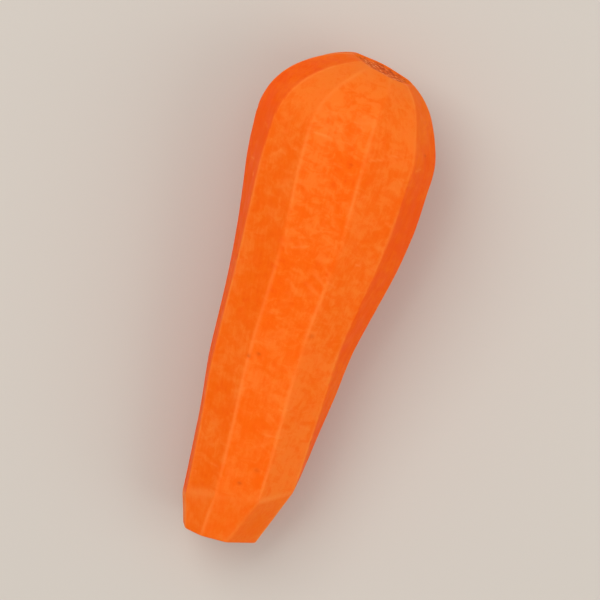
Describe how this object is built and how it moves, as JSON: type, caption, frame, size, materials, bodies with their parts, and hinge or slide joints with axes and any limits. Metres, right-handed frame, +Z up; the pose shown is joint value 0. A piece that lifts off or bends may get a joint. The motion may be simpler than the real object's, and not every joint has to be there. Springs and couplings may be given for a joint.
{
  "type": "carrot",
  "caption": "Peeled carrot with a stocky taper, long flat peel facets, a sliced leaf end and a squared-off tip, lying on its side.",
  "frame": {"origin": "centre of the bounding box in plan, on the surface that the carrot lies on", "axes": "+X along the root from the leaf end to the tip, +Y toward its fuller side, +Z up"},
  "size_m": [0.1138, 0.0422, 0.0412],
  "materials": {
    "flesh": "moist peeled flesh with a soft sheen"
  },
  "bodies": {
    "root": {"carrot": "flesh"}
  },
  "joints": []
}
